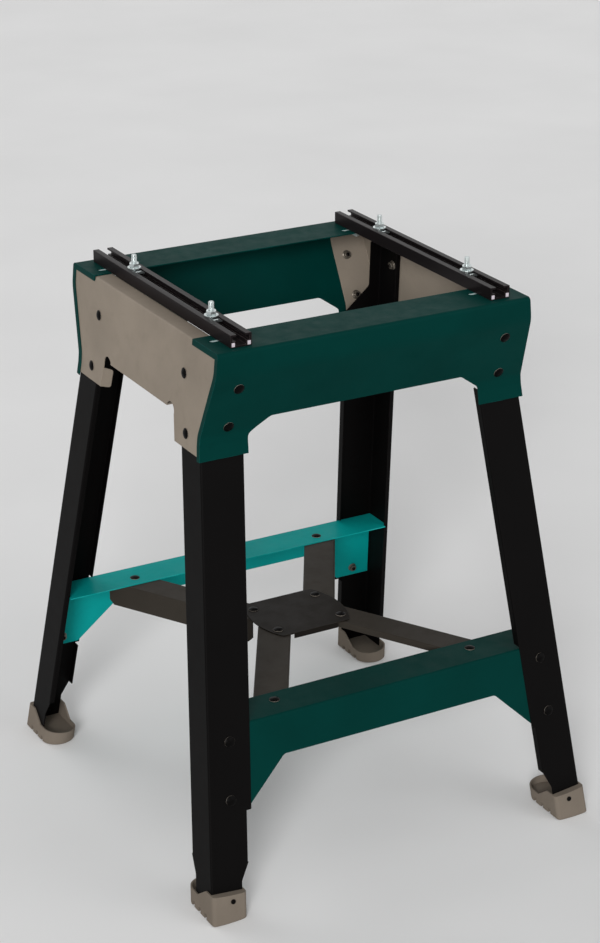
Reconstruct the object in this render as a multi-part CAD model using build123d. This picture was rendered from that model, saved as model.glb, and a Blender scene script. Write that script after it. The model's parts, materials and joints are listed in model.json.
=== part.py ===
from build123d import *
import math
import os

# Miter saw stand of bolted sheet steel, in millimetres.
# The origin is on the floor under the middle, the front is towards -Y, the left towards -X, +Z is up.
# Every piece of a corner is drawn for the rear right corner, and mirrored to the others.

# Whole stand
stand_height = 813.0
top_half_width = 250.0
side_splay_share = 0.0907
end_splay_share = 0.1984
sheet = 1.6
seat_gap = 0.1
edge_gap = 0.6
overrun = 30.0

# Upper beams, front and rear: drops are measured down from the top
beam_half_depth = 235.5
beam_flange = 75.5
face_fold_drop = 33.0
face_toe_drop = 129.0
face_setback = 34.0
toe_fold_drop = 143.0
toe_flare = 3.0
beam_drop = 163.0
beam_mid_drop = 113.0
beam_mid_from_side = 95.0
shoulder_from_side = 62.0
shoulder_drop = 136.0
ear_width = 60.0
rim_width = 8.5
beam_edge_radius = 5.5
beam_brow_radius = 50.0
beam_toe_radius = 22.0
flare_radius = 4.0
cut_radius = 9.0
beam_bolt_line = 37.2
upper_beam_bolt_drop = 57.0
lower_beam_bolt_drop = 118.0

# Side panels
panel_top_flange = 27.0
panel_flange_gap = 1.5
panel_fold_radius = 3.2
panel_tuck = 1.5
end_flange_reach = 62.0
end_flange_top_drop = 23.0
panel_ear_drop = 159.0
panel_mid_drop = 116.5
panel_mid_from_front = 142.0
panel_mid_lip = 12.0
relief_from_front = 131.5
relief_drop = 120.0
relief_radius = 12.5
ear_return_from_front = 118.3
ear_return = 17.0
ear_return_top_drop = 128.0
ear_return_top_slant = 8.0
ear_return_slant = 5.0
ear_return_radius = 5.0
panel_bolt_from_front = 39.6
upper_panel_bolt_drop = 55.0
lower_panel_bolt_drop = 137.0

# Legs: plan sizes are level ones, the same at every height
leg_gap = 1.2
leg_top_drop = 23.0
leg_front_width = 67.5
leg_side_width = 60.0
leg_front_lip = 14.0
leg_side_lip = 8.0
leg_radius = 3.0
leg_shin_width = 60.0
leg_toe_width = 49.0
leg_cap_width = 20.0
leg_cap_drop = 100.0
leg_full_drop = 145.0
lip_end_height = 75.0
toe_height = 50.0

# Feet
foot_wall = 2.6
foot_front_wall = 10.7
foot_gap = 0.3
foot_straight = 66.2
foot_sole = 12.7
foot_height = 43.5
foot_end_height = 25.0
foot_wall_length = 32.2
foot_dip_from_front = 56.2
foot_corner_radius = 6.0
foot_front_radius = 190.0
foot_top_radius = 3.0
foot_bottom_chamfer = 1.5
groove_width = 8.0
groove_height = 9.0
groove_pitch = 19.0
last_groove_from_front = 27.7
groove_count = 3
foot_screw_height = 31.0
foot_screw_from_side = 28.5
foot_screw_head_radius = 3.6
foot_screw_head = 1.8
foot_screw_radius = 2.0
foot_screw_length = 18.0
foot_screw_fit = 0.15

# Lower braces, front and rear
brace_height = 274.0
brace_flange = 62.5
brace_mid_drop = 59.0
brace_mid_from_side = 119.9
brace_ear_drop = 120.0
brace_ear_width = 56.9
brace_radius = 4.0
brace_bolt_line = 34.1
upper_brace_bolt_drop = 19.7
lower_brace_bolt_drop = 103.9
notch_margin = 4.0

# Cross bars and centre plate
bar_outer = 31.0
bar_inner = 19.5
bar_tall_flange = 38.0
bar_short_flange = 10.0
bar_brace_end = 28.0
bar_plate_end = 18.0
bar_corner = 8.0
bar_radius = 2.6
bar_bolt_from_side = 132.4
bar_bolt_from_fold = 40.5
plate_bolt_x = 55.0
plate_bolt_y = 40.0
plate_half_depth = 62.0
plate_corner_x = 58.0
plate_half_width = 75.0
plate_corner_radius = 8.0
plate_lip_half = 38.0
plate_lip = 7.5

# Rails that carry the saw
rail_from_side = 42.5
rail_width = 32.0
rail_height = 18.3
rail_end_from_front = 14.5
rail_floor = 2.5
rail_wall = 3.0
rail_lip = 2.5
rail_slot = 14.0
boss_width = 8.0
boss_height = 9.0
boss_wall = 1.6
plug_length = 12.0
plug_proud = 0.8
plug_fit = 0.1
rail_edge_radius = 0.8
slide_gap = 0.05

# Rail fixings: bolts through slots in the beams, with a clamp plate and nut below each
rail_bolt_from_front = 54.5
rail_slot_length = 55.0
rail_slot_width = 9.5
rail_bolt_head_radius = 7.0
rail_bolt_head = 4.0
clamp_plate_length = 50.0
clamp_plate_width = 22.0
clamp_plate_thickness = 2.5
clamp_plate_radius = 4.0

# Saw bolts that slide in the rails
front_saw_bolt_y = -133.7
rear_saw_bolt_y = 112.0
saw_bolt_top = 20.5
t_head_width = 25.0
t_head_length = 22.0
t_head_thickness = 5.2
t_head_corner = 2.0
washer_radius = 10.0
washer_thickness = 1.6

# M8 fasteners of the rails and the saw
thread_radius = 4.0
bolt_hole_radius = 4.4
nut_flats = 13.0
nut_height = 6.5
nut_fit = 0.05
bolt_tail = 1.5
nut_crown_share = 0.94

# M6 fasteners of the frame: bolts with a square neck, and flanged nuts
frame_thread_radius = 3.0
head_radius = 7.7
head_height = 3.3
head_rim = 0.9
neck_width = 6.0
neck_length = 3.0
neck_fit = 0.2
frame_nut_flats = 10.0
frame_nut_height = 6.0
frame_nut_radius = 7.1
frame_nut_flange = 1.2

leg_inset = 2 * (sheet + seat_gap)
leg_front_toe = beam_half_depth - face_setback - 2 * sheet - seat_gap - leg_gap
leg_front_floor = leg_front_toe + end_splay_share * (stand_height - toe_fold_drop)
foot_front_floor = leg_front_floor + foot_gap + foot_front_wall
panel_flange_end = beam_half_depth - beam_flange - panel_flange_gap
panel_mid_half = beam_half_depth - panel_mid_from_front
ear_return_half = beam_half_depth - ear_return_from_front
rail_x = top_half_width - rail_from_side
rail_half_length = beam_half_depth - rail_end_from_front
rail_bolt_y = beam_half_depth - rail_bolt_from_front
brace_half = top_half_width + side_splay_share * (stand_height - brace_height)
bar_bolt_x = brace_half - bar_bolt_from_side
lean = Vector(-side_splay_share, -end_splay_share, 1)
wide = 2 * (beam_half_depth + top_half_width)


def side_at(drop, inset=0):
    """Distance of the sloping side from the middle plane, at a drop below the top."""
    return top_half_width - inset + side_splay_share * drop


def ear_edge_at(drop):
    """Distance of the panel ear's inner edge, which leans as the legs do, from the middle plane."""
    return ear_return_half + end_splay_share * (drop - ear_return_top_drop)


def leg_front_at(height, inset=0):
    """Distance of the legs' front face from the middle plane, at a height above the floor."""
    return leg_front_floor - inset - end_splay_share * height


def outline(points, radius=0):
    """Flat shape with straight sides, its corners rounded by one radius or by a list of them."""
    return make_face(FilletPolyline(*points, radius=radius, close=True).edges())


def moved_right(points, radii, distance):
    """The path moved to its right-hand side, with its corner radii kept concentric."""
    spots = [Vector(*point) for point in points]
    ways = [(end - start).normalized() for start, end in zip(spots, spots[1:])]
    rights = [Vector(way.Y, -way.X) for way in ways]
    pairs = zip(spots, rights[:1] + rights, rights + rights[-1:])
    moved = [spot + (one + two) * (distance / (1 + one.dot(two))) for spot, one, two in pairs]
    turns = [math.copysign(1, one.cross(two).Z) for one, two in zip(ways, ways[1:])]
    return moved, [max(radius + turn * distance, 0) for radius, turn in zip(radii, turns)]


def folded(points, radii, thickness):
    """Closed outline of a folded sheet that follows the path and lies on its right-hand side."""
    inner_points, inner_radii = moved_right(points, radii, thickness)
    outer = FilletPolyline(*points, radius=radii)
    inner = FilletPolyline(*inner_points, radius=inner_radii)
    ends = [Edge.make_line(outer @ 0, inner @ 0), Edge.make_line(outer @ 1, inner @ 1)]
    return make_face(outer.edges() + inner.edges() + ends)


def along_x(shape, start, end):
    """Solid between two places along X, from a shape drawn in Y and Z."""
    return extrude(Plane.YZ.offset(start) * shape, amount=end - start)


def along_y(shape, start, end):
    """Solid between two places along Y, from a shape drawn in X and Z."""
    return extrude(Plane.XZ.offset(-end) * shape, amount=end - start)


def along_z(shape, start, end):
    """Solid between two heights, from a shape drawn in X and Y."""
    return extrude(Plane.XY.offset(start) * shape, amount=end - start)


def leaning(shape, low, high):
    """Solid between two heights that leans with the leg, from a shape drawn at the floor."""
    return extrude(Pos(lean * low) * shape, amount=(high - low) * lean.length, dir=lean)


def block(x_range, y_range, z_range):
    """Box between two places along each axis."""
    corners = [(x, y) for x, y in zip((x_range[0], x_range[1], x_range[1], x_range[0]),
                                      (y_range[0], y_range[0], y_range[1], y_range[1]))]
    return along_z(outline(corners), *z_range)


def between_sides(inset):
    """Everything between the two sloping side planes, each moved in by the inset."""
    low, high = side_at(stand_height, inset), side_at(-overrun, inset)
    top = stand_height + overrun
    return along_y(outline([(-low, 0), (low, 0), (high, top), (-high, top)]), -wide, wide)


def side_band(outer_inset, inner_inset):
    """Sloping slab on the right-hand side, between two insets of the side plane."""
    top = stand_height + overrun
    corners = [(side_at(stand_height, outer_inset), 0), (side_at(-overrun, outer_inset), top),
               (side_at(-overrun, inner_inset), top), (side_at(stand_height, inner_inset), 0)]
    return along_y(outline(corners), -wide, wide)


def both_sides(shape):
    """The shape and its mirror image across the middle, left to right."""
    return shape + mirror(shape, about=Plane.YZ)


def both_ends(shape):
    """The shape and its mirror image across the middle, front to rear."""
    return shape + mirror(shape, about=Plane.XZ)


def four_ways(shape):
    """The shape and its mirror images at the other three corners, as separate solids."""
    right = [shape, mirror(shape, about=Plane.XZ)]
    return right + [mirror(piece, about=Plane.YZ) for piece in right]


def neck_holes(planes):
    """Square holes through the given planes, for the frame bolts' necks."""
    width = neck_width + 2 * neck_fit
    return [plane * Box(width, width, 2 * overrun) for plane in planes]


# Places of the bolts, each a plane on the outer face with its normal pointing out

def face_at(drop):
    """Distance of the beam's sloping face from the middle plane, at a drop below the top."""
    share = (drop - face_fold_drop) / (face_toe_drop - face_fold_drop)
    return beam_half_depth - share * face_setback


def beam_bolt_planes():
    """The two bolts of a beam's right-hand ear."""
    normal = Vector(0, face_toe_drop - face_fold_drop, -face_setback)
    drops = (upper_beam_bolt_drop, lower_beam_bolt_drop)
    inset = leg_inset + beam_bolt_line
    spots = [(side_at(drop, inset), face_at(drop), stand_height - drop) for drop in drops]
    return [Plane(origin=spot, x_dir=(1, 0, 0), z_dir=normal) for spot in spots]


def panel_bolt_planes():
    """The two bolts that join the right side panel to its rear leg."""
    drops = (upper_panel_bolt_drop, lower_panel_bolt_drop)
    inset = sheet + seat_gap
    heights = [stand_height - drop for drop in drops]
    spots = [(side_at(stand_height - height, inset), leg_front_at(height, panel_bolt_from_front), height)
             for height in heights]
    return [Plane(origin=spot, x_dir=(0, 1, 0), z_dir=(1, 0, side_splay_share)) for spot in spots]


def brace_bolt_planes():
    """The two bolts that join the rear brace to the right leg."""
    heights = (brace_height - upper_brace_bolt_drop, brace_height - lower_brace_bolt_drop)
    inset = leg_inset + brace_bolt_line
    spots = [(side_at(stand_height - height, inset), leg_front_at(height), height) for height in heights]
    return [Plane(origin=spot, x_dir=(1, 0, 0), z_dir=(0, 1, end_splay_share)) for spot in spots]


def bar_bolt_plane():
    """The bolt that joins the rear right cross bar to its brace."""
    y = leg_front_at(brace_height, sheet + seat_gap + bar_bolt_from_fold)
    return Plane(origin=(bar_bolt_x, y, brace_height))


def plate_bolt_plane():
    """The bolt that joins the rear right cross bar to the centre plate."""
    return Plane(origin=(plate_bolt_x, plate_bolt_y, brace_height))


def foot_screw_plane():
    """The screw that joins the rear right foot to its leg."""
    x = side_at(stand_height - foot_screw_height, leg_inset + foot_screw_from_side)
    y = leg_front_at(foot_screw_height, -foot_gap - foot_front_wall)
    return Plane(origin=(x, y, foot_screw_height), x_dir=(1, 0, 0), z_dir=(0, 1, end_splay_share))


# Upper beams

def beam_path():
    """Outer side of the beam's fold, from the top flange's inner edge down to the toe."""
    low_y = beam_half_depth - face_setback
    points = [(beam_half_depth - beam_flange, stand_height),
              (beam_half_depth, stand_height),
              (beam_half_depth, stand_height - face_fold_drop),
              (low_y, stand_height - face_toe_drop),
              (low_y, stand_height - toe_fold_drop),
              (low_y + toe_flare, stand_height - beam_drop)]
    return points, [beam_edge_radius, beam_brow_radius, beam_toe_radius, flare_radius]


def beam_gap():
    """What is cut from the middle of the beam's lower edge, leaving an ear at each end."""
    bottom = stand_height - beam_drop - overrun
    shoulder, ear = top_half_width - shoulder_from_side, top_half_width - ear_width
    right = [(top_half_width - beam_mid_from_side, stand_height - beam_mid_drop),
             (shoulder, stand_height - shoulder_drop),
             (ear, bottom)]
    left = [(-x, z) for x, z in reversed(right)]
    radii = [cut_radius, cut_radius, 0, 0, cut_radius, cut_radius]
    return along_y(outline(right + left, radii), 0, wide)


def rear_beam():
    """Beam with a top flange, a sloping face, an ear at each end and rims over the side panels."""
    points, radii = beam_path()
    ends = side_at(beam_drop)
    body = along_x(folded(points, radii, sheet), -ends, ends) & between_sides(0)
    rim = along_x(folded(points, radii, rim_width), 0, ends) & side_band(0, sheet)
    body = body + both_sides(rim) - beam_gap()
    slot = Pos(rail_x, rail_bolt_y) * SlotOverall(rail_slot_length, rail_slot_width)
    body -= both_sides(along_z(slot, stand_height - overrun, stand_height + overrun))
    for hole in neck_holes(beam_bolt_planes()):
        body -= both_sides(hole)
    return body


# Side panels

def panel_end_path():
    """Outer side of the panel's end flange, which lies against the inside of the beam."""
    return moved_right(*beam_path(), sheet + seat_gap)


def panel_plate():
    """Sloping plate of the right side panel, up to the outer side of its end flanges."""
    points, radii = panel_end_path()
    half = outline([(0, points[0].Y)] + points[1:] + [(0, points[-1].Y)], [0] + radii + [0, 0])
    return both_ends(along_x(half, 0, wide)) & side_band(sheet + seat_gap, leg_inset - seat_gap)


def panel_end_flange():
    """Flange at the rear end of the panel, folded to the beam's profile."""
    body = along_x(folded(*panel_end_path(), sheet), 0, wide)
    body &= side_band(sheet + seat_gap, end_flange_reach)
    low, high = stand_height - panel_ear_drop, stand_height - end_flange_top_drop
    return body & block((0, wide), (0, wide), (low, high))


def panel_top():
    """Top flange of the right side panel with its fold and the first of the plate below it."""
    top = stand_height - sheet - seat_gap
    inset = sheet + seat_gap
    drop = sheet + seat_gap
    fold_drop = drop + 3 * panel_fold_radius
    points = [(side_at(drop, inset + panel_top_flange), top),
              (side_at(drop, inset), top),
              (side_at(fold_drop, inset), stand_height - fold_drop)]
    return along_y(folded(points, [panel_fold_radius], sheet), -panel_flange_end, panel_flange_end)


def panel_ear_return():
    """Flange turned in along the inner edge of the panel's rear ear, slanting down inwards."""
    inset = sheet + seat_gap
    high, low = ear_return_top_drop, panel_ear_drop
    points = [(side_at(high, inset), stand_height - high),
              (side_at(low, inset), stand_height - low),
              (side_at(low, inset + ear_return), stand_height - low - ear_return_slant),
              (side_at(high, inset + ear_return), stand_height - high - ear_return_top_slant)]
    radii = [0, 0, panel_fold_radius, ear_return_radius]
    ends = [(ear_edge_at(drop), stand_height - drop) for drop in (high - overrun, low + overrun)]
    slab = outline(ends + [(y + sheet, z) for y, z in reversed(ends)])
    return along_y(outline(points, radii), 0, wide) & along_x(slab, 0, wide)


def panel_mid_fold():
    """Short lip turned in along the middle of the panel's lower edge."""
    low = stand_height - panel_mid_drop
    body = block((0, wide), (-panel_mid_half, panel_mid_half), (low, low + sheet))
    return body & side_band(sheet + seat_gap, sheet + seat_gap + panel_mid_lip)


def panel_gap():
    """What is cut from the panel's lower edge: the middle, and a round relief beside each ear."""
    top, bottom = panel_mid_drop, beam_drop + overrun
    rear = [(ear_edge_at(top), stand_height - top), (ear_edge_at(bottom), stand_height - bottom)]
    middle = outline(rear + [(-y, z) for y, z in reversed(rear)])
    relief = Pos(beam_half_depth - relief_from_front, stand_height - relief_drop) * Circle(relief_radius)
    return along_x(middle, 0, wide) + both_ends(along_x(relief, 0, wide))


def right_side_panel():
    """Side panel with a top flange, end flanges behind the beams and an ear at each end."""
    low = stand_height - panel_ear_drop
    fold = stand_height - sheet - seat_gap - 2 * panel_fold_radius
    tuck = stand_height - rim_width + panel_tuck
    body = panel_plate()
    body -= block((0, wide), (-panel_flange_end, panel_flange_end), (fold, stand_height))
    body -= both_ends(block((0, wide), (panel_flange_end, wide), (tuck, stand_height)))
    body -= block((0, wide), (-wide, wide), (low - overrun, low))
    body -= panel_gap()
    body += panel_top()
    body += panel_mid_fold()
    body += both_ends(panel_end_flange())
    body += both_ends(panel_ear_return())
    for hole in neck_holes(panel_bolt_planes() + beam_bolt_planes()):
        body -= both_ends(hole)
    return body


# Legs

def leg_section(front_width, lip):
    """Plan of the leg at the floor: front flange with its lip, and side flange with its own."""
    side, front = side_at(stand_height, leg_inset), leg_front_floor
    points = [(side - front_width, front - lip),
              (side - front_width, front),
              (side, front),
              (side, front - leg_side_width),
              (side - leg_side_lip, front - leg_side_width)]
    return folded(points, [leg_radius] * 3, sheet)


def leg_toe():
    """Lowest part of the leg, with no lips, which stands in the foot."""
    side, front = side_at(stand_height, leg_inset), leg_front_floor
    points = [(side - leg_shin_width, front), (side, front), (side, front - leg_side_width)]
    return leaning(folded(points, [leg_radius], sheet), foot_sole + foot_gap, lip_end_height)


def leg_toe_taper():
    """What is cut from both flanges of the leg's toe, so that it goes into the foot."""
    side, front = side_at(stand_height, leg_inset), leg_front_floor
    wide_x, narrow_x = side - leg_shin_width, side - leg_toe_width
    wide_y, narrow_y = front - leg_side_width, front - leg_toe_width
    run_x, run_y = side_splay_share, end_splay_share
    high, low = lip_end_height, toe_height
    front_cut = [(wide_x - run_x * high, high), (narrow_x - run_x * low, low), (narrow_x, 0),
                 (wide_x - overrun, 0), (wide_x - overrun, high)]
    side_cut = [(wide_y - run_y * high, high), (narrow_y - run_y * low, low), (narrow_y, 0),
                (wide_y - overrun, 0), (wide_y - overrun, high)]
    return along_y(outline(front_cut), 0, wide), along_x(outline(side_cut), 0, wide)


def leg_cap_cut():
    """What is cut from the top of the front flange, to clear the beam's bolts."""
    top = stand_height + overrun
    narrow, full = leg_inset + leg_cap_width, leg_inset + leg_front_width
    points = [(side_at(-overrun, narrow), top),
              (side_at(leg_cap_drop, narrow), stand_height - leg_cap_drop),
              (side_at(leg_full_drop, full), stand_height - leg_full_drop),
              (side_at(leg_full_drop, full + overrun), stand_height - leg_full_drop),
              (side_at(-overrun, full + overrun), top)]
    return along_y(outline(points, [0, cut_radius, 0, 0, 0]), 0, wide)


def leg_notch():
    """What is cut from the front flange's lip, to let the brace through."""
    x, y = side_at(stand_height, leg_inset + leg_front_width), leg_front_floor - sheet
    plan = outline([(x - overrun, y - overrun), (x + leg_radius, y - overrun), (x + leg_radius, y),
                    (x - overrun, y)])
    low = brace_height - brace_ear_drop - notch_margin
    return leaning(plan, low, brace_height + notch_margin)


def rear_right_leg():
    """Leg of folded sheet that leans out to the rear and to the right."""
    knee = brace_height - brace_ear_drop - notch_margin
    shin = leaning(leg_section(leg_shin_width, leg_front_lip), lip_end_height, knee)
    thigh = leaning(leg_section(leg_front_width, leg_front_lip), knee, stand_height - leg_top_drop)
    front_cut, side_cut = leg_toe_taper()
    body = leg_toe() - front_cut
    body = body - side_cut + shin + thigh - leg_cap_cut() - leg_notch()
    for hole in neck_holes(panel_bolt_planes() + brace_bolt_planes()):
        body -= hole
    return body - foot_screw_hole()


# Feet

def foot_plan(inset, front_wall):
    """Plan of the foot at the floor: straight sides, a square front and a round inner end."""
    outer = side_at(stand_height, leg_inset) + foot_gap + foot_wall
    width = leg_toe_width + 2 * (foot_gap + foot_wall)
    middle = outer - width / 2
    front = leg_front_floor + foot_gap + front_wall
    centre = foot_front_floor - foot_straight
    half = width / 2 - inset
    sides = outline([(middle - half, centre), (middle + half, centre), (middle + half, front),
                     (middle - half, front)])
    bow = Pos(middle, front - foot_front_radius) * Circle(foot_front_radius)
    return sides + Pos(middle, centre) * Circle(half), bow


def foot_top_cut():
    """What is cut away above the foot's walls, level with a line square to the leg."""
    outer = side_at(stand_height, leg_inset) + foot_gap + foot_wall + overrun
    rise = side_splay_share * overrun
    front, back = leg_front_floor + overrun, 0
    wall_end, dip = foot_front_floor - foot_wall_length, foot_front_floor - foot_dip_from_front
    top = foot_height + 2 * overrun
    points = [(front, foot_height), (wall_end, foot_height), (dip, foot_end_height),
              (back, foot_end_height), (back, top), (front, top)]
    shape = outline(points, [0, foot_top_radius, foot_top_radius, 0, 0, 0])
    slope = Vector(-1, 0, -side_splay_share)
    reach = (leg_toe_width + 3 * overrun) * slope.length
    return extrude(Plane.YZ.offset(outer) * Pos(0, rise) * shape, amount=reach, dir=slope)


def rear_right_foot():
    """Moulded foot that takes the leg's toe, with a bowed front and grooves across its sole."""
    plan, bow = foot_plan(0, foot_front_wall)
    plan = plan & bow
    plan = fillet(plan.vertices().sort_by(Axis.Y)[-2:], foot_corner_radius)
    body = leaning(plan, 0, foot_height + foot_wall)
    body = chamfer(body.faces().sort_by(Axis.Z)[0].outer_wire().edges(), foot_bottom_chamfer)
    body -= leaning(foot_plan(foot_wall, 0)[0], foot_sole, foot_height + overrun)
    body -= foot_top_cut()
    for index in range(groove_count):
        middle = foot_front_floor - last_groove_from_front - index * groove_pitch
        body -= block((0, wide), (middle - groove_width / 2, middle + groove_width / 2), (0, groove_height))
    return body - foot_screw_hole()


def foot_screw_hole():
    """Drill through the rear right foot's front wall and its leg."""
    return foot_screw_plane() * Cylinder(foot_screw_radius + foot_screw_fit, 2 * overrun)


def foot_screw():
    """Round-headed screw through the foot's thick front wall into the leg."""
    dome = Pos(0, 0, foot_screw_head / 2) * Cylinder(foot_screw_head_radius, foot_screw_head)
    dome = fillet(dome.edges().sort_by(Axis.Z)[-1], foot_screw_head / 2)
    shank = Pos(0, 0, -foot_screw_length / 2) * Cylinder(foot_screw_radius, foot_screw_length)
    return foot_screw_plane() * (dome + shank)


# Lower braces

def brace_gap():
    """What is cut from the middle of the brace's lower edge, leaving an ear at each end."""
    middle, low = brace_height - brace_mid_drop, brace_height - brace_ear_drop
    shoulder, ear = brace_half - brace_mid_from_side, brace_half - brace_ear_width
    right = [(shoulder, middle), (ear, low), (ear, low - overrun)]
    left = [(-x, z) for x, z in reversed(right)]
    radii = [cut_radius, leg_radius, 0, 0, leg_radius, cut_radius]
    return along_y(outline(right + left, radii), 0, wide)


def rear_brace():
    """Brace behind the rear legs' front flanges, with a level flange along its top."""
    low = brace_height - brace_ear_drop
    inset = sheet + seat_gap
    fold = leg_front_at(brace_height, inset)
    points = [(fold - brace_flange, brace_height), (fold, brace_height), (leg_front_at(low, inset), low)]
    ends = side_at(stand_height)
    body = along_x(folded(points, [brace_radius], sheet), -ends, ends)
    body &= between_sides(leg_inset + leg_radius + seat_gap)
    drop = stand_height - brace_height
    corner_x = side_at(drop, leg_inset + leg_side_lip + edge_gap)
    corner_y = leg_front_at(brace_height, leg_side_width - sheet - edge_gap)
    corner = block((corner_x, wide), (0, corner_y), (brace_height - overrun, brace_height + overrun))
    body = body - both_sides(corner) - brace_gap()
    for hole in neck_holes(brace_bolt_planes() + [bar_bolt_plane()]):
        body -= both_sides(hole)
    return body


# Cross bars and centre plate

def bar_section():
    """Channel with a short flange on its inner side and a tall one on its outer side."""
    points = [(-bar_inner, -bar_short_flange), (-bar_inner, 0), (bar_outer, 0), (bar_outer, -bar_tall_flange)]
    return folded(points, [bar_radius, bar_radius], sheet)


def rear_right_cross_bar():
    """Channel from the rear brace to the centre plate, its tall flange cut at both lower corners."""
    start = bar_bolt_plane().origin
    way = plate_bolt_plane().origin - start
    frame = Plane(origin=start - Vector(0, 0, sheet), x_dir=way, z_dir=(0, 0, 1))
    heel, tip = -bar_brace_end, way.length + bar_plate_end
    body = extrude(Plane.YZ.offset(heel) * bar_section(), amount=tip - heel)
    low = -bar_tall_flange
    for x, inward in ((heel, bar_corner), (tip, -bar_corner)):
        body -= along_y(outline([(x, low), (x + inward, low), (x, low + bar_corner)]), 0, wide)
    body = frame * body
    for hole in neck_holes([bar_bolt_plane(), plate_bolt_plane()]):
        body -= hole
    return body


def centre_plate():
    """Flat plate on the four cross bars, with bowed sides and a lip at the front and rear."""
    bow = ThreePointArc((plate_corner_x, -plate_half_depth), (plate_half_width, 0),
                        (plate_corner_x, plate_half_depth))
    other = mirror(bow, about=Plane.YZ)
    rear = Line((plate_corner_x, plate_half_depth), (-plate_corner_x, plate_half_depth))
    front = mirror(rear, about=Plane.XZ)
    plan = make_face([bow.edge(), rear.edge(), other.edge(), front.edge()])
    plan = fillet(plan.vertices(), plate_corner_radius)
    body = along_z(plan, brace_height - sheet, brace_height)
    lip_y = (plate_half_depth - sheet, plate_half_depth)
    lip = block((-plate_lip_half, plate_lip_half), lip_y, (brace_height - sheet - plate_lip, brace_height))
    body += both_ends(lip)
    for hole in neck_holes([plate_bolt_plane()]):
        body -= both_ends(both_sides(hole))
    return body


# Rails and their fixings

def rail_section():
    """Section of the rail about its middle, with its lower side at zero."""
    half, inner, slot = rail_width / 2, rail_width / 2 - rail_wall, rail_slot / 2
    body = outline([(-half, 0), (half, 0), (half, rail_height), (-half, rail_height)], rail_edge_radius)
    step = half - boss_width
    lip = rail_height - rail_lip
    right = [(slot, rail_height + overrun), (slot, lip), (inner, lip), (inner, boss_height),
             (step, boss_height), (step, rail_floor)]
    left = [(-x, z) for x, z in reversed(right)]
    body -= outline(right + left)
    chamber = Rectangle(boss_width - 2 * boss_wall, boss_height - 2 * boss_wall)
    for side in (-1, 1):
        body -= Pos(side * (half - boss_width / 2), boss_height / 2) * chamber
    return body


def right_rail():
    """Slotted extrusion that carries the saw's bolts."""
    shape = Pos(rail_x, stand_height + slide_gap) * rail_section()
    body = along_y(shape, -rail_half_length, rail_half_length)
    drill = Pos(rail_x, rail_bolt_y, stand_height) * Cylinder(bolt_hole_radius, overrun)
    return body - both_ends(drill & block((0, wide), (0, wide), (0, stand_height + boss_height)))


def right_rail_plugs():
    """Four plugs that close the rail's lower chambers."""
    size = (boss_width - 2 * boss_wall - 2 * plug_fit, boss_height - 2 * boss_wall - 2 * plug_fit)
    offset = rail_width / 2 - boss_width / 2
    height = stand_height + slide_gap + boss_height / 2
    plugs = []
    for side in (-1, 1):
        shape = Pos(rail_x + side * offset, height) * Rectangle(*size)
        rear = along_y(shape, rail_half_length - plug_length, rail_half_length + plug_proud)
        plugs += [rear, mirror(rear, about=Plane.XZ)]
    return plugs


def rail_bolt():
    """Round-headed bolt from the rail's floor down through the beam's slot."""
    seat = stand_height + slide_gap + rail_floor
    below = stand_height - sheet - slide_gap - clamp_plate_thickness - nut_height - bolt_tail
    head = Cylinder(rail_bolt_head_radius, rail_bolt_head)
    head = fillet(head.edges().sort_by(Axis.Z)[-1], rail_bolt_head / 2)
    head = Pos(rail_x, rail_bolt_y, seat + rail_bolt_head / 2) * head
    return head + along_z(Pos(rail_x, rail_bolt_y) * Circle(thread_radius), below, seat)


def clamp_plate():
    """Plate under the beam's top flange, which spreads the rail bolt's pull over the slot."""
    top = stand_height - sheet - slide_gap
    shape = RectangleRounded(clamp_plate_length, clamp_plate_width, clamp_plate_radius)
    shape -= Circle(bolt_hole_radius)
    return along_z(Pos(rail_x, rail_bolt_y) * shape, top - clamp_plate_thickness, top)


def rail_nut():
    """Nut under the clamp plate."""
    top = stand_height - sheet - slide_gap - clamp_plate_thickness
    return Pos(rail_x, rail_bolt_y, top - nut_height) * hex_nut()


def saw_bolt(y):
    """Bolt with a flat head that slides under the rail's lips."""
    lip = stand_height + slide_gap + rail_height - rail_lip
    high = lip - slide_gap
    corner = outline([(-t_head_width / 2, -t_head_length / 2), (t_head_width / 2, -t_head_length / 2),
                      (t_head_width / 2, t_head_length / 2), (-t_head_width / 2, t_head_length / 2)],
                     t_head_corner)
    head = along_z(Pos(rail_x, y) * corner, high - t_head_thickness, high)
    top = stand_height + rail_height + saw_bolt_top
    return head + along_z(Pos(rail_x, y) * Circle(thread_radius), high, top)


def saw_washer(y):
    """Washer on the rail's lips."""
    low = stand_height + 2 * slide_gap + rail_height
    shape = Circle(washer_radius) - Circle(bolt_hole_radius)
    return along_z(Pos(rail_x, y) * shape, low, low + washer_thickness)


def saw_nut(y):
    """Nut on the saw bolt's washer."""
    low = stand_height + 2 * slide_gap + rail_height + washer_thickness
    return Pos(rail_x, y, low) * hex_nut()


# Bolts and nuts, drawn along Z

def hexagon(flats, height):
    """Six-sided prism with its corners bevelled at the upper end."""
    corner = flats / math.sqrt(3)
    body = along_z(RegularPolygon(corner, 6), 0, height)
    crown = Cone(corner * (2 - nut_crown_share), corner * nut_crown_share, height,
                 align=(Align.CENTER, Align.CENTER, Align.MIN))
    return body & crown


def hex_nut():
    """M8 nut that stands on zero."""
    return hexagon(nut_flats, nut_height) - Cylinder(thread_radius + nut_fit, 2 * overrun)


def frame_bolt(grip):
    """Bolt with a low domed head above zero and a square neck, long enough for the grip and a nut."""
    rise = head_height - head_rim
    dome = (head_radius ** 2 + rise ** 2) / (2 * rise)
    head = along_z(Circle(head_radius), 0, head_height) & Pos(0, 0, head_height - dome) * Sphere(dome)
    neck = along_z(Rectangle(neck_width, neck_width), -neck_length, 0)
    low = -grip - frame_nut_height - bolt_tail
    return head + neck + along_z(Circle(frame_thread_radius), low, 0)


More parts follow.
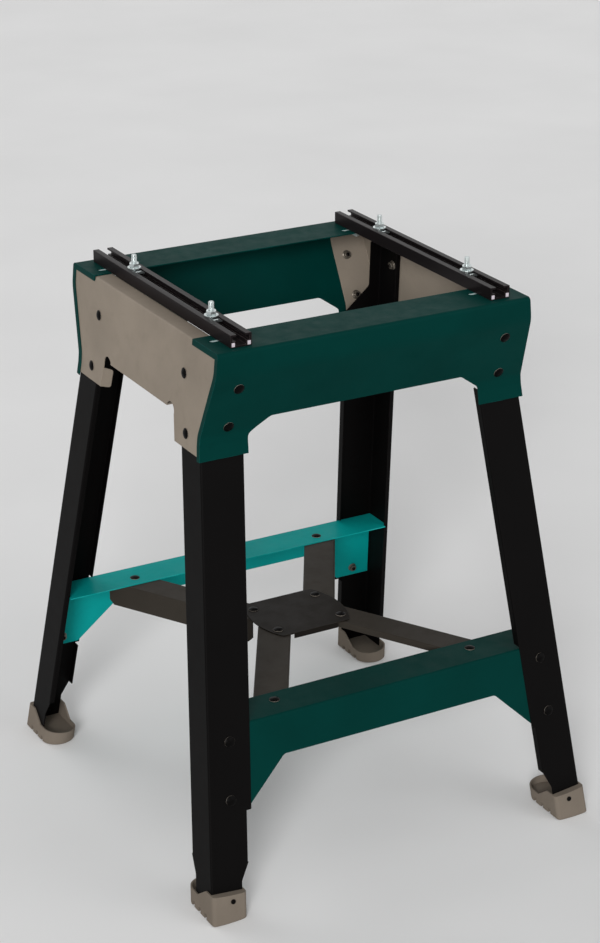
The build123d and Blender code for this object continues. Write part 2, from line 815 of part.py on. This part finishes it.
def frame_nut():
    """Flanged M6 nut that stands on zero."""
    body = hexagon(frame_nut_flats, frame_nut_height) + along_z(Circle(frame_nut_radius), 0, frame_nut_flange)
    return body - Cylinder(frame_thread_radius + nut_fit, 2 * overrun)


def bolts_and_nuts(planes, grip):
    """The bolts on the given planes and the nuts behind what they hold."""
    nut = Pos(0, 0, -grip) * Rot(180, 0, 0) * frame_nut()
    return [plane * frame_bolt(grip) for plane in planes], [plane * nut for plane in planes]


# Nodes

def write(name, solids):
    """Save one sub-part, of one solid or of several alike."""
    bodies = [solid for shape in solids for solid in shape.solids()]
    whole = bodies[0] if len(bodies) == 1 else Compound(bodies)
    whole.label = name
    export_step(whole, f"parts/{name}.step")


def write_corners(name, shape):
    """Save the rear right piece and its mirror images as four sub-parts."""
    corners = ("rear_right", "front_right", "rear_left", "front_left")
    for corner, piece in zip(corners, four_ways(shape)):
        write(f"{corner}_{name}", [piece])


def write_fasteners(name, planes, grip):
    """Save one kind of bolt and its nuts, at all four corners."""
    bolts, nuts = bolts_and_nuts(planes, grip)
    write(f"{name}_bolts", [copy for bolt in bolts for copy in four_ways(bolt)])
    write(f"{name}_nuts", [copy for nut in nuts for copy in four_ways(nut)])


def write_pair(names, shape, about):
    """Save a piece and its mirror image as two sub-parts."""
    write(names[0], [shape])
    write(names[1], [mirror(shape, about=about)])


def write_rails():
    """Save both rails with what is fixed to each."""
    parts = {"rail": [right_rail()],
             "rail_plugs": right_rail_plugs(),
             "rail_bolts": [rail_bolt(), mirror(rail_bolt(), about=Plane.XZ)],
             "clamp_plates": [clamp_plate(), mirror(clamp_plate(), about=Plane.XZ)],
             "rail_nuts": [rail_nut(), mirror(rail_nut(), about=Plane.XZ)]}
    for name, solids in parts.items():
        write(f"right_{name}", solids)
        write(f"left_{name}", [mirror(solid, about=Plane.YZ) for solid in solids])


def write_saw_bolts():
    """Save the four sliding bolts, each with its washer and nut."""
    for end, y in (("front", front_saw_bolt_y), ("rear", rear_saw_bolt_y)):
        for name, make in (("saw_bolt", saw_bolt), ("saw_washer", saw_washer), ("saw_nut", saw_nut)):
            write_pair((f"{end}_right_{name}", f"{end}_left_{name}"), make(y), Plane.YZ)


def main():
    os.makedirs("parts", exist_ok=True)
    tilted_grip = 2 * sheet + seat_gap
    write_pair(("rear_beam", "front_beam"), rear_beam(), Plane.XZ)
    write_pair(("right_side_panel", "left_side_panel"), right_side_panel(), Plane.YZ)
    write_pair(("rear_brace", "front_brace"), rear_brace(), Plane.XZ)
    write_corners("leg", rear_right_leg())
    write_corners("foot", rear_right_foot())
    write_corners("cross_bar", rear_right_cross_bar())
    write("centre_plate", [centre_plate()])
    write_fasteners("beam", beam_bolt_planes(), tilted_grip)
    write_fasteners("panel", panel_bolt_planes(), tilted_grip)
    write_fasteners("brace", brace_bolt_planes(), tilted_grip)
    write_fasteners("bar", [bar_bolt_plane()], 2 * sheet)
    write_fasteners("plate", [plate_bolt_plane()], 2 * sheet)
    write("foot_screws", four_ways(foot_screw()))
    write_rails()
    write_saw_bolts()


main()
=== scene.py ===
import json
import math

import bmesh
import bpy
from mathutils import Matrix, Vector

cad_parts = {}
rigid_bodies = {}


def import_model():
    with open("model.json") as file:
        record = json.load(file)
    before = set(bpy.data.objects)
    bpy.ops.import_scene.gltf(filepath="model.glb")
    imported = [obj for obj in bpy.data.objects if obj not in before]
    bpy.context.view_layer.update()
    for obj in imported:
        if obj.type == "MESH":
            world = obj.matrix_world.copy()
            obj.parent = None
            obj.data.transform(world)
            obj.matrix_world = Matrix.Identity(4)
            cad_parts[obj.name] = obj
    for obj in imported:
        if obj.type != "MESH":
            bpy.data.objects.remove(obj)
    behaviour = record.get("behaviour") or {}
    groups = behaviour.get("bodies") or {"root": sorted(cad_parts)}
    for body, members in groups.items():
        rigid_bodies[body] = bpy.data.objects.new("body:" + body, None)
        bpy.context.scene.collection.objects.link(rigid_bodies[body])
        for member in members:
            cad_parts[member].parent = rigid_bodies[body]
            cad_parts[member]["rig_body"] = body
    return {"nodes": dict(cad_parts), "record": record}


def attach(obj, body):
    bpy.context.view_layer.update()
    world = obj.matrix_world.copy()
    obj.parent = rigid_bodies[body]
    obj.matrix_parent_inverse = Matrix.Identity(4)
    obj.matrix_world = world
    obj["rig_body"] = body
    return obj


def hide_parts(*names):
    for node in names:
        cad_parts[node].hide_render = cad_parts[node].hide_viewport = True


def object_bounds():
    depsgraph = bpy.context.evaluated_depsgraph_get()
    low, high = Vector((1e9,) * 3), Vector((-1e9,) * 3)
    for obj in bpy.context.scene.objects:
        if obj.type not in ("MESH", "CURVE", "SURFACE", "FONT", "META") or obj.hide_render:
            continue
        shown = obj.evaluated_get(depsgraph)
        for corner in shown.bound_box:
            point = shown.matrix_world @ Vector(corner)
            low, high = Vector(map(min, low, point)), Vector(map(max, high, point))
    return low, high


# Miter saw stand, in metres: paint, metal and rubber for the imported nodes, and fasteners with real threads.

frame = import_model()
cad_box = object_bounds()

# Photograph: what the camera needs to give its frame, in pixels, metres and degrees
photo_height = 943
focal_pixels = 2289.5
sensor_size = 0.036
millimetres = 1000
camera_place = (-1.54537, -2.78648, 1.84022)
camera_turn = -29.10
camera_dip = 22.67
camera_roll = -0.02
camera_reach = 100.0

# Surfaces: the size of each mark, and the values of its noise over which it comes in
patch_size = 0.09
patch_detail = 3.0
patch_span = (0.3, 0.7)
smudge_size = 0.022
smudge_detail = 4.0
smudge_roughness = 0.6
smudge_span = (0.55, 0.8)
smudge_most = 0.35
gloss_span = (0.3, 0.7)
grain_size = 0.0011
fine_grain_size = 0.0005
rail_grain_size = 0.0006
grain_detail = 2.0
grain_span = (0.35, 0.75)
grain_most = 0.22
grain_height = 0.0003
rail_streak = (1.0, 0.03, 1.0)
tone_spread = 0.10

# Worn edges: where the rounded normal leaves the face's own, broken up by the smudges
edge_radius = 0.0007
edge_samples = 4
edge_span = (0.995, 0.86)
ragged_span = (0.42, 0.62)

# Threads, M6 in the frame and M8 on the rails: outer radius and pitch, and shares of the pitch
frame_thread = (0.003, 0.001)
rail_thread = (0.004, 0.00125)
thread_depth_share = 0.5
crest_start_share = 0.35
crest_end_share = 0.55
root_start_share = 0.9
turn_steps = 20
tip_chamfer = 0.0008
core_share = 0.99
core_tip_share = 0.8
core_taper_share = 0.2

# Domed bolts of the frame: head, dome widths as shares of its radius, neck, and the material number of its
# rim, which is painted lighter as shading
head_radius = 0.0077
head_height = 0.0033
head_rim = 0.0009
head_round = 0.0002
dome_foot_share = 0.999
dome_shares = (0.995, 0.97, 0.9, 0.8, 0.65, 0.5, 0.35, 0.2, 0.08)
neck_length = 0.003
rim_shading_material = 1

# Nuts: width over flats, flange, and drops from an end at which a turned corner gets a loop
frame_nut_flats = 0.010
frame_nut_drops = (0.0, 0.0003, 0.0006, 0.001)
frame_nut_radius = 0.0071
frame_nut_flange = 0.0012
flange_shoulder = 0.0004
flange_neck_share = 0.86
flange_rim_share = 0.6
flange_round = 0.0002
rail_nut_flats = 0.013
rail_nut_drops = (0.0, 0.0003, 0.0006, 0.001, 0.0013)
turned_corner_share = 0.97
turned_corner_slope = math.sqrt(3)
bore_gap = 0.00005
bore_mouth = 0.0004

# Flat heads of the saw's bolts
tee_head = (0.025, 0.022, 0.0052)
tee_bevel = 0.0012
tee_bevel_segments = 3

# Meshes: how fine they are, and how a fastener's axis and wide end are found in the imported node
circle_corners = 72
weld_distance = 1e-6
crease_angle = 28
most_smooth_corners = 4
same_direction = 0.9995
wide_end_share = 0.9

# Studio: floor, greys and lamps
floor_radius = 40.0
floor_corners = 96
floor_gap = 0.0002
floor_patch_size = 0.6
floor_dark = 0.80
floor_light = 0.84
floor_roughness = 0.9
floor_specular = 0.1
object_light = 0.38
background_white = 1.0

# Numbers of the colour Mix node's sockets
mix_factor = 0
mix_first = 6
mix_second = 7
mix_result = 2

# Names that repeat in the nodes
bolted_runs = ("beam", "panel", "brace", "bar", "plate")
sides = ("left", "right")
ends = ("front", "rear")


# Node graphs

class Graph:
    """Node tree of a material or a world, with a short way to add a node and feed it."""

    def __init__(self, owner):
        self.owner = owner
        owner.use_nodes = True
        self.tree = owner.node_tree
        self.tree.nodes.clear()

    def add(self, kind, inputs=None, **settings):
        """A new node; its inputs are given by name or number, as values or as sockets to link."""
        node = self.tree.nodes.new("ShaderNode" + kind)
        for name, value in settings.items():
            setattr(node, name, value)
        for key, value in (inputs or {}).items():
            if isinstance(value, bpy.types.NodeSocket):
                self.tree.links.new(value, node.inputs[key])
            else:
                node.inputs[key].default_value = value
        return node

    def noise(self, place, size, detail, roughness=0.5):
        """Soft noise with blotches of about that size."""
        node = self.add("TexNoise", {"Vector": place, "Scale": 1 / size, "Detail": detail,
                                     "Roughness": roughness})
        return node.outputs["Fac"]

    def between(self, factor, span, start=0.0, end=1.0):
        """The factor's values over the span, spread over start to end."""
        low, high = span
        node = self.add("MapRange", {"Value": factor, "From Min": low, "From Max": high,
                                     "To Min": start, "To Max": end})
        return node.outputs["Result"]

    def maths(self, operation, first, second):
        """One value from two, by the Math node's operation."""
        return self.add("Math", {0: first, 1: second}, operation=operation).outputs[0]

    def blend(self, factor, first, second):
        """Colour that goes from the first to the second with the factor."""
        node = self.add("Mix", {mix_factor: factor, mix_first: first, mix_second: second}, data_type="RGBA")
        return node.outputs[mix_result]

    def close(self, kind, shader):
        """The material or world, once the shader is linked to its output node."""
        self.add(kind, {"Surface": shader.outputs[0]})
        return self.owner


def linear(red, green, blue):
    """Linear colour from the 0 to 255 values of a screen colour."""
    values = []
    for value in (red, green, blue):
        share = value / 255
        values.append(share / 12.92 if share <= 0.04045 else ((share + 0.055) / 1.055) ** 2.4)
    return (*values, 1.0)


def grey(value):
    """Grey of that linear value."""
    return (value, value, value, 1.0)


def scaled(colour, share):
    """The colour made darker or lighter by a share, up to full brightness."""
    return (*[min(1.0, value * share) for value in colour[:3]], 1.0)


# Finishes

def finish(name, colour, worn, roughness, wear=0.5, metallic=0.0, specular=0.04, bump=0.12,
           gloss_spread=0.07, grain_at=grain_size, streak=None):
    """Surface with blotches, a fine grain, smudges in its gloss and edges worn to another colour."""
    graph = Graph(bpy.data.materials.new(name))
    place = graph.add("TexCoord").outputs["Object"]
    drawn = graph.add("Mapping", {"Vector": place, "Scale": streak}).outputs[0] if streak else place
    patches = graph.noise(place, patch_size, patch_detail)
    smudges = graph.noise(drawn, smudge_size, smudge_detail, smudge_roughness)
    grain = graph.noise(drawn, grain_at, grain_detail)

    rounded = graph.add("Bevel", {"Radius": edge_radius}, samples=edge_samples).outputs[0]
    flat = graph.add("NewGeometry").outputs["Normal"]
    facing = graph.add("VectorMath", {0: rounded, 1: flat}, operation="DOT_PRODUCT").outputs["Value"]
    edge = graph.between(facing, edge_span)
    ragged = graph.between(smudges, ragged_span)
    worn_share = graph.maths("MULTIPLY", edge, graph.maths("MULTIPLY", ragged, wear))

    darker, darkest = scaled(colour, 1 - tone_spread), scaled(colour, 1 - 2 * tone_spread)
    lighter, lightest = scaled(colour, 1 + tone_spread), scaled(colour, 1 + 2 * tone_spread)
    broad = graph.blend(graph.between(patches, patch_span), darker, lighter)
    mottled = graph.blend(graph.between(smudges, smudge_span, 0.0, smudge_most), broad, darkest)
    speckled = graph.blend(graph.between(grain, grain_span, 0.0, grain_most), mottled, lightest)
    base = graph.blend(worn_share, speckled, worn)

    gloss = graph.maths("ADD", graph.between(smudges, gloss_span, -gloss_spread, gloss_spread), roughness)
    bumped = graph.add("Bump", {"Height": grain, "Normal": rounded, "Strength": bump,
                                "Distance": grain_height})
    shader = graph.add("BsdfPrincipled", {"Base Color": base, "Roughness": gloss, "Metallic": metallic,
                                          "Specular IOR Level": specular, "Normal": bumped.outputs[0]})
    return graph.close("OutputMaterial", shader)


looks = {
    "teal_paint": dict(colour=linear(0, 46, 42), worn=linear(20, 112, 108), roughness=0.5, wear=0.8,
                       specular=0.03),
    "panel_paint": dict(colour=linear(132, 122, 110), worn=linear(186, 176, 162), roughness=0.45, wear=0.8),
    "leg_paint": dict(colour=linear(8, 7, 7), worn=linear(46, 41, 41), roughness=0.5, wear=0.7,
                      gloss_spread=0.02),
    "bar_paint": dict(colour=linear(50, 46, 41), worn=linear(112, 104, 95), roughness=0.45, wear=0.7),
    "rail_metal": dict(colour=linear(27, 23, 24), worn=linear(96, 85, 83), roughness=0.36, wear=0.9,
                       metallic=0.3, bump=0.08, grain_at=rail_grain_size, streak=rail_streak),
    "foot_rubber": dict(colour=linear(112, 103, 93), worn=linear(150, 139, 127), roughness=0.72, bump=0.3),
    "black_steel": dict(colour=linear(7, 6, 6), worn=linear(80, 74, 70), roughness=0.36, wear=0.9,
                        metallic=0.1, bump=0.06, grain_at=fine_grain_size),
    "zinc_steel": dict(colour=linear(196, 204, 204), worn=linear(150, 148, 142), roughness=0.3,
                       metallic=0.9, specular=0.5, bump=0.05, grain_at=fine_grain_size),
    # Pale plugs in the rails' hollow ends: painted light where the hollows lie in shade
    "plug_plastic": dict(colour=linear(200, 191, 199), worn=linear(222, 216, 220), roughness=0.5, bump=0.15),
    "nut_steel": dict(colour=linear(104, 97, 88), worn=linear(160, 152, 142), roughness=0.34,
                      metallic=0.6, specular=0.3, bump=0.06, grain_at=fine_grain_size),
    # Paler zinc for the clamp plates: painted light that keeps the shaded slots over them bright
    "zinc_painted_light": dict(colour=linear(206, 226, 226), worn=linear(232, 236, 236), roughness=0.45,
                      metallic=0.2, specular=0.3, bump=0.05, grain_at=fine_grain_size),
    # Paler copy of the teal paint for the rear brace: painted light
    "teal_paint_painted_light": dict(colour=linear(6, 146, 143), worn=linear(90, 200, 198), roughness=0.45, wear=0.8),
    # Darker copy of the bar paint for the centre plate: painted shade
    "bar_paint_painted_shade": dict(colour=linear(27, 24, 21), worn=linear(96, 88, 80), roughness=0.45, wear=0.8),
    # Lighter steel for the bolt heads' rims: painted shading of the heads' sides
    "rim_steel_painted_shading": dict(colour=linear(140, 132, 122), worn=linear(176, 170, 160), roughness=0.4,
                      metallic=0.5, bump=0.06, grain_at=fine_grain_size),
}
finishes = {name: finish(name, **look) for name, look in looks.items()}

# Nodes in another tone than the rest of their slot: dark zinc on the nuts, and painted light and shade as
# lighter or darker copies on the rear brace, the centre plate and the clamp plates
own_looks_and_painted_shading = {"rear_brace": "teal_paint_painted_light", "centre_plate": "bar_paint_painted_shade"}
for run in bolted_runs:
    own_looks_and_painted_shading[f"{run}_nuts"] = "nut_steel"
# Clamp plates in the paler zinc: painted light in the slots
for side in sides:
    own_looks_and_painted_shading[f"{side}_clamp_plates"] = "zinc_painted_light"
node_slots = {part["node"]: part["material_slot"] for part in frame["record"]["subparts"]}


def finish_of(node_name):
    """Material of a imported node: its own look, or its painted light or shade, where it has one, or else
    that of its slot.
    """
    return finishes[own_looks_and_painted_shading.get(node_name, node_slots[node_name])]


for name, node in frame["nodes"].items():
    for place in node.material_slots:
        place.material = finish_of(name)


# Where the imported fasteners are

def islands(mesh):
    """The mesh's separate solids, each as its corners and its faces' normals and areas.

    The faces keep the mesh's order, so that each run finds the same axis to the last digit.
    """
    shape = bmesh.new()
    shape.from_mesh(mesh)
    bmesh.ops.remove_doubles(shape, verts=shape.verts, dist=weld_distance)
    shape.faces.index_update()
    seen = set()
    found = []
    for start in shape.verts:
        if start in seen:
            continue
        group = []
        waiting = [start]
        seen.add(start)
        while waiting:
            corner = waiting.pop()
            group.append(corner)
            for edge in corner.link_edges:
                other = edge.other_vert(corner)
                if other not in seen:
                    seen.add(other)
                    waiting.append(other)
        faces = {face.index: face for corner in group for face in corner.link_faces}
        found.append(([corner.co.copy() for corner in group],
                      [(faces[index].normal.copy(), faces[index].calc_area()) for index in sorted(faces)]))
    shape.free()
    return found


def axis_of(faces):
    """Direction that most of a fastener's flat area looks along, one way or the other."""
    totals = {}
    for normal, area in faces:
        key = next((known for known in totals if abs(known.dot(normal)) > same_direction), None)
        if key is None:
            key = normal.freeze()
            totals[key] = 0.0
        totals[key] += area
    return max(totals, key=totals.get).copy()


def placed(corners, faces):
    """Matrix from a shape whose wide end lies at zero, facing +Z, to the fastener, and its length."""
    axis = axis_of(faces)
    heights = [axis.dot(corner) for corner in corners]
    low, high = min(heights), max(heights)
    centre = sum(corners, Vector()) / len(corners)
    radii = [((corner - centre) - axis * axis.dot(corner - centre)).length for corner in corners]
    reach = wide_end_share * max(radii)
    rim = [corner for corner, radius in zip(corners, radii) if radius > reach]
    middle = sum(rim, Vector()) / len(rim)
    if axis.dot(middle) < (low + high) / 2:
        axis = -axis
        low, high = -high, -low
    foot = middle - axis * axis.dot(middle)
    turn = axis.to_track_quat("Z", "Y").to_matrix().to_4x4()
    return Matrix.Translation(foot + axis * high) @ turn, high - low


# Shapes of the fasteners

def ring(shape, height, radius_at):
    """Loop of corners round Z, with the radius that the rule gives for each angle."""
    made = []
    for step in range(circle_corners):
        angle = 2 * math.pi * step / circle_corners
        radius = radius_at(angle)
        made.append(shape.verts.new((radius * math.cos(angle), radius * math.sin(angle), height)))
    return made


def join(shape, first, second):
    """Faces between two loops of corners."""
    for here in range(len(first)):
        there = (here + 1) % len(first)
        shape.faces.new((first[here], first[there], second[there], second[here]))


def lathe(shape, rows, cap_low=True, cap_high=True):
    """Skin through loops of corners, each a height and a radius or a rule for the radius."""
    loops = []
    for height, radius in rows:
        rule = radius if callable(radius) else (lambda angle, fixed=radius: fixed)
        loops.append(ring(shape, height, rule))
    for low, high in zip(loops, loops[1:]):
        join(shape, low, high)
    if cap_low:
        shape.faces.new(list(reversed(loops[0])))
    if cap_high:
        shape.faces.new(loops[-1])


def hexagon(flats, drop=math.inf):
    """Rule for a hexagon's radius, with its corners turned off by a cone, at a drop from the cone's end.

    Without a drop the corners stay whole.
    """
    sector = math.pi / 3
    limit = flats / 2 * turned_corner_share + drop * turned_corner_slope
    return lambda angle: min(flats / 2 / math.cos(angle % sector - sector / 2), limit)


def thread(shape, low, high, size):
    """Threaded rod between two heights, as one groove that winds up round a core."""
    outer, pitch = size
    root = outer - pitch * thread_depth_share
    steps = max(turn_steps, round((high - low) / pitch * turn_steps))
    profile = ((0.0, root), (crest_start_share, outer), (crest_end_share, outer), (root_start_share, root))
    rows = []
    for step in range(steps + 1):
        angle = 2 * math.pi * step / turn_steps
        rise = low - pitch + (high - low) * step / steps
        row = []
        for share, radius in profile:
            height = min(max(rise + share * pitch, low), high)
            width = min(radius, root + (height - low) * (outer - root) / tip_chamfer)
            row.append(shape.verts.new((width * math.cos(angle), width * math.sin(angle), height)))
        rows.append(row)
    for here in range(steps):
        for column in range(len(profile) - 1):
            shape.faces.new((rows[here][column], rows[here + 1][column],
                             rows[here + 1][column + 1], rows[here][column + 1]))
        above = here + turn_steps
        if above < steps:
            shape.faces.new((rows[here][-1], rows[here + 1][-1], rows[above + 1][0], rows[above][0]))
    core = root * core_share
    lathe(shape, [(low, core * core_tip_share), (low + core_taper_share * core, core), (high, core)])


def frame_bolt_shape(length):
    """Domed bolt with its top at zero, a rim in lighter steel as painted shading, a plain neck and its thread
    below.
    """
    shape = bmesh.new()
    seat = -head_height
    lathe(shape, [(seat, head_radius - head_round), (seat + head_round, head_radius),
                  (seat + head_rim, head_radius)])
    for face in shape.faces:
        face.material_index = rim_shading_material
    rise = head_height - head_rim
    dome = (head_radius ** 2 + rise ** 2) / (2 * rise)
    widths = [head_radius * share for share in dome_shares]
    rows = [(seat + head_rim, head_radius * dome_foot_share)]
    rows += [(math.sqrt(dome ** 2 - width ** 2) - dome, width) for width in widths]
    lathe(shape, rows)
    outer = frame_thread[0]
    lathe(shape, [(seat - neck_length, outer), (seat, outer)])
    thread(shape, -length, seat - neck_length, frame_thread)
    return shape


def bored(outside, height, bore):
    """Closed skin of a nut from its outer loops, which run from its free end to its seat at zero."""
    shape = bmesh.new()
    mouth = bore + bore_mouth
    inside = [(0.0, mouth), (-bore_mouth, bore), (-height + bore_mouth, bore), (-height, mouth)]
    lathe(shape, [(-height, mouth)] + outside + inside, cap_low=False, cap_high=False)
    return shape


def frame_nut_shape(height):
    """Flanged hexagon nut with its seat at zero."""
    flange = frame_nut_flange
    outside = [(-height + drop, hexagon(frame_nut_flats, drop)) for drop in frame_nut_drops]
    outside += [(-flange - flange_shoulder, hexagon(frame_nut_flats)),
                (-flange, frame_nut_radius * flange_neck_share),
                (-flange * flange_rim_share, frame_nut_radius), (-flange_round, frame_nut_radius),
                (0.0, frame_nut_radius - flange_round)]
    return bored(outside, height, frame_thread[0] + bore_gap)


def rail_nut_shape(height):
    """Plain hexagon nut with its corners turned off at both ends and its seat at zero."""
    outside = [(-height + drop, hexagon(rail_nut_flats, drop)) for drop in rail_nut_drops]
    outside += [(-drop, hexagon(rail_nut_flats, drop)) for drop in reversed(rail_nut_drops)]
    return bored(outside, height, rail_thread[0] + bore_gap)


def tee_shape(length):
    """Flat-headed bolt with its head's end at zero and its thread below."""
    shape = bmesh.new()
    middle = Matrix.Translation((0, 0, -tee_head[2] / 2)) @ Matrix.Diagonal((*tee_head, 1))
    bmesh.ops.create_cube(shape, size=1.0, matrix=middle)
    bmesh.ops.bevel(shape, geom=shape.edges[:], offset=tee_bevel, segments=tee_bevel_segments,
                    profile=0.5, affect="EDGES")
    thread(shape, -length, -tee_head[2], rail_thread)
    return shape


# Pieces that stand for the nodes of bolts and nuts

def added(name, data):
    """New object in the scene, for a mesh, a lamp or a camera."""
    thing = bpy.data.objects.new(name, data)
    bpy.context.scene.collection.objects.link(thing)
    return thing


def fasteners(node_name, maker):
    """One detailed piece for a node, with the maker's shape at each of the node's solids."""
    whole = bmesh.new()
    for corners, faces in islands(frame["nodes"][node_name].data):
        matrix, length = placed(corners, faces)
        shape = maker(length)
        shape.transform(matrix)
        single = bpy.data.meshes.new("single")
        shape.to_mesh(single)
        shape.free()
        whole.from_mesh(single)
        bpy.data.meshes.remove(single)
    bmesh.ops.remove_doubles(whole, verts=whole.verts, dist=weld_distance)
    bmesh.ops.recalc_face_normals(whole, faces=whole.faces)
    for face in whole.faces:
        face.smooth = len(face.verts) <= most_smooth_corners
    mesh = bpy.data.meshes.new(f"{node_name}_threaded")
    whole.to_mesh(mesh)
    whole.free()
    mesh.set_sharp_from_angle(angle=math.radians(crease_angle))
    mesh.materials.append(finish_of(node_name))
    # Second slot: the lighter steel painted on the bolt heads' rims as shading
    mesh.materials.append(finishes["rim_steel_painted_shading"])
    piece = added(f"{node_name}_threaded", mesh)
    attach(piece, frame["nodes"][node_name]["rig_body"])
    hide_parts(node_name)


for run in bolted_runs:
    fasteners(f"{run}_bolts", frame_bolt_shape)
    fasteners(f"{run}_nuts", frame_nut_shape)
for side in sides:
    fasteners(f"{side}_rail_nuts", rail_nut_shape)
    for end in ends:
        fasteners(f"{end}_{side}_saw_bolt", tee_shape)
        fasteners(f"{end}_{side}_saw_nut", rail_nut_shape)


# Studio and camera

def floor_material():
    """Pale paint with faint broad patches."""
    graph = Graph(bpy.data.materials.new("floor_paint"))
    place = graph.add("TexCoord").outputs["Object"]
    patches = graph.noise(place, floor_patch_size, patch_detail)
    tone = graph.blend(graph.between(patches, patch_span), grey(floor_dark), grey(floor_light))
    shader = graph.add("BsdfPrincipled", {"Base Color": tone, "Roughness": floor_roughness,
                                          "Specular IOR Level": floor_specular})
    return graph.close("OutputMaterial", shader)


def lay_floor():
    """Wide round floor just under the feet."""
    ground = bmesh.new()
    bmesh.ops.create_circle(ground, cap_ends=True, segments=floor_corners, radius=floor_radius)
    mesh = bpy.data.meshes.new("floor")
    ground.to_mesh(mesh)
    ground.free()
    mesh.materials.append(floor_material())
    floor = added("floor", mesh)
    floor.location.z = cad_box[0].z - floor_gap


def hang_sun(name, towards, strength, softness):
    """Far light that shines along a direction, with its softness in degrees."""
    light = bpy.data.lights.new(name, "SUN")
    light.energy = strength
    light.angle = math.radians(softness)
    lamp = added(name, light)
    lamp.rotation_mode = "QUATERNION"
    lamp.rotation_quaternion = Vector(towards).to_track_quat("-Z", "Y")


def fill_world():
    """Soft grey light on the object, and white where the camera, gloss or glass looks past it."""
    world = bpy.data.worlds.new("studio")
    graph = Graph(world)
    rays = graph.add("LightPath").outputs
    seen = graph.maths("MAXIMUM", rays["Is Camera Ray"], rays["Is Glossy Ray"])
    seen = graph.maths("MAXIMUM", seen, rays["Is Transmission Ray"])
    tone = graph.blend(seen, grey(object_light), grey(background_white))
    sky = graph.add("Background", {"Color": tone, "Strength": 1.0})
    graph.close("OutputWorld", sky)
    bpy.context.scene.world = world


def place_camera():
    """Camera that gives the photograph's frame."""
    data = bpy.data.cameras.new("camera")
    data.sensor_fit = "AUTO"
    data.sensor_width = sensor_size * millimetres
    data.lens = focal_pixels * sensor_size * millimetres / photo_height
    data.clip_end = camera_reach
    camera = added("camera", data)
    camera.location = camera_place
    turned = Matrix.Rotation(math.radians(camera_turn), 4, "Z")
    tipped = Matrix.Rotation(math.radians(90 - camera_dip), 4, "X")
    rolled = Matrix.Rotation(math.radians(camera_roll), 4, "Z")
    camera.rotation_euler = (turned @ tipped @ rolled).to_euler()
    bpy.context.scene.camera = camera


lay_floor()
hang_sun("key", towards=(0.60, 0.76, -0.36), strength=2.3, softness=20)
hang_sun("fill", towards=(-0.55, 0.70, -0.45), strength=0.5, softness=40)
hang_sun("back", towards=(0.20, -0.75, -0.65), strength=0.5, softness=40)
fill_world()
place_camera()
bpy.context.scene.view_settings.view_transform = "Standard"

bpy.context.view_layer.update()
